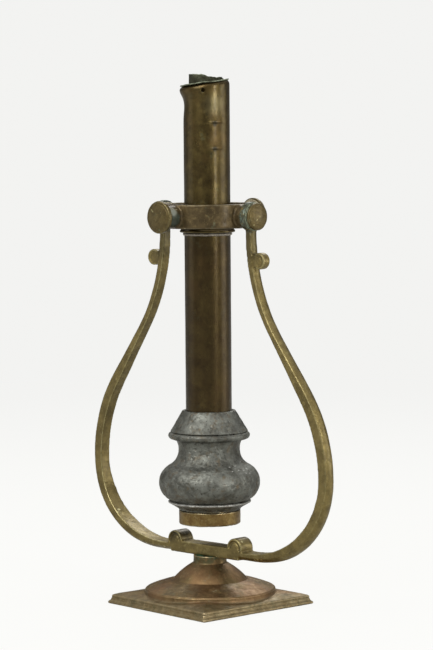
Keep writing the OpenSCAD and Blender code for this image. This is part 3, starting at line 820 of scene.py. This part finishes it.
@cache
def tube_brass():
    """Dark stained brass: painted highlight above the upper dent, painted shade in both dents, browner
    below the ring.
    """
    g, body, shine, metallic, bumps = old_brass(
        "tube_brass", (0.057, 0.038, 0.011), (0.098, 0.07, 0.02), (0.128, 0.093, 0.028),
        (0.257, 0.206, 0.076), green=0.2, size=10, rough=(0.27, 0.46))
    stains = g.math("MULTIPLY", g.ramp(g.noise(5, 7, 0.78, 2.1), 0.55, 0.68), 0.6)
    body = g.mix(stains, body, (0.024, 0.02, 0.007))
    brown = g.math("MULTIPLY", g.ramp(g.noise(22, 4, 0.6, 1.7), 0.5, 0.68), 0.5)
    body = g.mix(brown, body, (0.116, 0.069, 0.022))
    # painted highlight: a lighter patch above the upper dent, where the dent's curve catches the light
    painted_highlight = g.math("MULTIPLY", g.spot((dent_x, dent_y, dent_heights[0] + 10), 9, 0.2), 0.5)
    body = g.mix(painted_highlight, body, (0.257, 0.214, 0.101))
    # painted shade: dark patches in both dents, where the creases fall in shade
    for z in dent_heights:
        black = g.math("MULTIPLY", g.spot((dent_x, dent_y, z), 2.4, 0.3), 0.85)
        body = g.mix(black, body, (0.019, 0.017, 0.006))
    low = g.ramp(g.above(), 0.200, 0.210, 0.5, 0.0)
    body = g.mix(low, body, (0.03, 0.015, 0.005))
    return g.finish(body, shine, bumps, metallic, **lacquer)


@cache
def cap_brass():
    """The bright screw cap."""
    g, body, shine, metallic, bumps = old_brass(
        "cap_brass", (0.165, 0.099, 0.034), (0.275, 0.191, 0.068), (0.33, 0.249, 0.112),
        (0.425, 0.377, 0.247), green=0.1, size=4, rough=(0.28, 0.5))
    return g.finish(body, shine, bumps, metallic)


@cache
def worn_brass():
    """Bright brass, kept clean by rubbing."""
    g, body, shine, metallic, bumps = old_brass(
        "worn_brass", (0.25, 0.19, 0.10), (0.42, 0.34, 0.2), (0.5, 0.43, 0.28), (0.8, 0.72, 0.5), size=3)
    return g.finish(body, shine, bumps, metallic)


@cache
def green_brass():
    """Brass corroded green all over."""
    g, body, shine, metallic, bumps = old_brass(
        "green_brass", (0.036, 0.036, 0.021), (0.078, 0.078, 0.048), (0.12, 0.137, 0.096),
        (0.27, 0.293, 0.204), green=0.95, size=3, rough=(0.5, 0.75), green_colour=(0.12, 0.169, 0.114))
    return g.finish(body, shine, bumps, metallic)


@cache
def solder():
    """The pale bead under the collar."""
    g, body, shine, metallic, bumps = old_brass(
        "solder", (0.22, 0.19, 0.15), (0.4, 0.36, 0.3), (0.52, 0.48, 0.42), (0.7, 0.66, 0.6), size=2.5,
        rough=(0.45, 0.7))
    return g.finish(body, shine, bumps, metallic)


@cache
def spring_bronze():
    """The spring's drawn wire."""
    g, body, shine, metallic, bumps = old_brass(
        "spring_bronze", (0.2, 0.12, 0.06), (0.4, 0.27, 0.14), (0.5, 0.36, 0.2), (0.7, 0.55, 0.35), size=8)
    return g.finish(body, shine, bumps, metallic)


@cache
def steel():
    """The stem screw's dull steel."""
    g, body, shine, metallic, bumps = old_brass(
        "steel", (0.12, 0.1, 0.09), (0.25, 0.23, 0.21), (0.34, 0.32, 0.3), (0.6, 0.58, 0.55),
        green=0.0, size=3)
    return g.finish(body, shine, bumps, metallic)


@cache
def base_bronze():
    """Copper-red patina on top, olive edges, verdigris and a painted shadow where the neck meets the bar.
    """
    g, body, shine, metallic, bumps = old_brass(
        "base_bronze", (0.12, 0.084, 0.036), (0.215, 0.15, 0.066), (0.30, 0.215, 0.1), (0.6, 0.47, 0.28),
        green=0.5, size=8, rough=(0.36, 0.6))
    foot = g.ramp(g.above(), 0.0055, 0.0075, 1.0, 0.0)
    dry = g.math("MULTIPLY", foot, g.ramp(g.noise(4, 6, 0.75, 1.9), 0.35, 0.65, 0.08, 0.5))
    body = g.mix(dry, body, (0.31, 0.26, 0.15))
    damp = g.math("MULTIPLY", foot, g.ramp(g.noise(6, 6, 0.75, 2.6), 0.52, 0.66, 0.0, 0.6))
    body = g.mix(damp, body, (0.07, 0.075, 0.035))
    upper = g.math("MULTIPLY", g.ramp(g.above(), 0.0048, 0.0075),
                   g.ramp(g.noise(16, 3, 0.6, 0.15), 0.38, 0.6))
    body = g.mix(g.math("MULTIPLY", upper, 0.35), body, (0.3, 0.15, 0.075))
    neck = g.math("MULTIPLY", g.spot((0, 0, bar_z), 11), g.ramp(g.noise(2.6, 5, 0.75, 0.4), 0.42, 0.56))
    # painted shadow round the top of the neck, under the bar
    shadow = g.math("MULTIPLY", g.spot((0, 0, bar_z - 1), 11.5, 0.6), 0.9)
    body = g.mix(shadow, body, (0.03, 0.028, 0.012))
    body = g.mix(neck, body, (0.04, 0.17, 0.10))
    shine = g.math("ADD", shine, g.math("MULTIPLY", neck, 0.25))
    metallic = g.math("SUBTRACT", metallic, g.math("MULTIPLY", neck, 0.4))
    return g.finish(body, shine, bumps, metallic)


@cache
def pewter():
    """Dull grey casting, stained brown, with pale bloom in patches and a painted highlight on the worn
    lower rim.
    """
    g = Graph("pewter")
    cloud, fine = g.noise(9, 7, 0.68), g.noise(1.3, 5, 0.75, 0.2)
    body = g.mix(g.ramp(cloud, 0.33, 0.67), (0.081, 0.08, 0.066), (0.212, 0.217, 0.188))
    body = g.mix(g.ramp(g.noise(4, 6, 0.7, 0.6), 0.5, 0.72, 0, 0.8), body, (0.136, 0.1, 0.056))
    body = g.mix(g.ramp(g.noise(6, 7, 0.8, 1.3), 0.58, 0.72, 0, 0.75), body, (0.357, 0.365, 0.312))
    body = g.mix(g.ramp(g.noise(3.2, 7, 0.8, 3.1), 0.56, 0.66, 0, 0.75), body, (0.03, 0.027, 0.02))
    body = g.mix(g.ramp(fine, 0.55, 0.68, 0, 0.85), body, (0.038, 0.035, 0.028))
    grime = g.math("MULTIPLY", g.hollows(0.40, 0.485), 0.8)
    body = g.mix(grime, body, (0.03, 0.026, 0.02))
    worn = g.math("MULTIPLY", g.edges(0.56, 0.64), 0.75)
    # the lower rim's bright band is partly rubbed metal and partly a painted highlight
    under = g.ramp(g.above(), rim_z * MM, (rim_z + 0.4) * MM)
    over = g.ramp(g.above(), (rim_top_z - 0.3) * MM, rim_top_z * MM, 1.0, 0.0)
    patchy = g.ramp(g.noise(3, 4, 0.7, 2.2), 0.35, 0.6, 0.2, 0.9)
    worn = g.math("MAXIMUM", worn, g.math("MULTIPLY", g.math("MULTIPLY", under, over), patchy))
    body = g.mix(worn, body, (0.55, 0.54, 0.5))
    shine = g.ramp(g.noise(5, 5, 0.7, 0.9), 0.3, 0.7, 0.38, 0.62)
    return g.finish(body, shine, [(cloud, 0.12), (g.noise(2.2, 6, 0.75, 0.4), 0.12), (fine, 0.08)], 0.75)


# ---------- floor, lights and camera ----------


def soft_room():
    """Light from above and a dim horizon, so that upright metal shows its own dark tone.

    The camera sees a plain pale backdrop in its place.
    """
    world = bpy.data.worlds.new("room")
    world.use_nodes = True
    tree = world.node_tree
    tree.nodes.clear()

    def node(kind, **inputs):
        made = tree.nodes.new(kind)
        for key, value in inputs.items():
            made.inputs[key.replace("_", " ")].default_value = value
        return made

    where, split = node("ShaderNodeTexCoord"), node("ShaderNodeSeparateXYZ")
    rise = node("ShaderNodeMapRange", From_Min=0.25, From_Max=0.8, To_Min=0.14, To_Max=1.2)
    rise.interpolation_type = "SMOOTHSTEP"
    tree.links.new(where.outputs["Generated"], split.inputs[0])
    tree.links.new(split.outputs["Z"], rise.inputs["Value"])
    room, seen = node("ShaderNodeBackground"), node("ShaderNodeBackground", Color=(*backdrop, 1))
    tree.links.new(rise.outputs[0], room.inputs["Strength"])
    path, mix = node("ShaderNodeLightPath"), node("ShaderNodeMixShader")
    out = node("ShaderNodeOutputWorld")
    tree.links.new(path.outputs["Is Camera Ray"], mix.inputs[0])
    tree.links.new(room.outputs[0], mix.inputs[1])
    tree.links.new(seen.outputs[0], mix.inputs[2])
    tree.links.new(mix.outputs[0], out.inputs[0])
    bpy.context.scene.world = world


def floor():
    """A wide floor of pale paper: the camera sees it as pale as the backdrop, with a faint shadow."""
    verts, faces = lathe([(r / MM, 0.0) for r in (0, 0.1, 0.25, 0.5, 1, 2, 4, 8, 14)], 96, False)
    o = add("pale_floor", [(verts, faces)])
    g = Graph("pale_floor")
    path = g.node("ShaderNodeLightPath").outputs["Is Camera Ray"]
    away = g.node("ShaderNodeVectorMath", {"operation": "LENGTH"}, i0=g.where).outputs["Value"]
    near, horizon = 0.1, 1.3
    pale = g.mix(g.ramp(away, near, horizon), (1.01, 1.01, 0.99), backdrop)
    glow = g.node("ShaderNodeEmission", Color=pale)
    paper = g.node("ShaderNodeBsdfDiffuse", Color=(0.5, 0.5, 0.48, 1))
    glowing = g.ramp(away, near, horizon, 0.9, 1.0)
    seen = g.node("ShaderNodeMixShader", Fac=glowing, i1=paper.outputs[0], i2=glow.outputs[0])
    both = g.node("ShaderNodeMixShader", Fac=path, i1=paper.outputs[0], i2=seen.outputs[0])
    g.node("ShaderNodeOutputMaterial", Surface=both.outputs[0])
    o.data.materials.append(g.material)


def lamps():
    """A broad key on the left, and a narrow tall light on the right that draws the tube's highlight."""
    middle = Vector((0, 0, 0.15))
    for name, azimuth, height, distance, wide, tall, power in (
            ("key", 5, 0.85, 1.0, 0.8, 0.8, 9), ("stripe", 87, 0.4, 1.0, 0.09, 0.46, 2.8),
            ("right", 130, 0.3, 1.2, 0.6, 0.6, 3), ("left", -46, 0.3, 1.3, 0.7, 0.6, 1.0),
            ("back", 215, 0.9, 1.0, 0.6, 0.5, 3)):
        lamp = bpy.data.lights.new(name, "AREA")
        lamp.shape, lamp.size, lamp.size_y, lamp.energy = "RECTANGLE", wide, tall, power
        light = bpy.data.objects.new(name, lamp)
        a = math.radians(azimuth)
        light.location = (distance * math.sin(a), -distance * math.cos(a), height)
        aim = middle - light.location
        light.rotation_euler = aim.to_track_quat("-Z", "Y").to_euler()
        bpy.context.scene.collection.objects.link(light)


def camera():
    """At the photograph's viewing angle: 43.8 degrees round and 4.4 degrees down."""
    data = bpy.data.cameras.new("camera")
    data.lens, data.sensor_width, data.sensor_fit = 144, 36, "AUTO"
    data.clip_start, data.clip_end = 0.05, 20
    o = bpy.data.objects.new("camera", data)
    o.location = (0.9919, -1.0277, 0.2650)
    target, roll = Vector((0.00329, 0.00315, 0.155)), Matrix.Rotation(math.radians(-0.45), 4, "Z")
    facing = (target - o.location).to_track_quat("-Z", "Y").to_matrix().to_4x4()
    o.matrix_world = Matrix.Translation(o.location) @ facing @ roll
    bpy.context.scene.collection.objects.link(o)
    bpy.context.scene.camera = o


camera()
soft_room()
floor()
lamps()
base()
yoke()
ring()
screws()
washers()
collar()
tube()
nozzle()
weight()
cap()
inner_parts()

bpy.context.scene.view_settings.view_transform = "Standard"
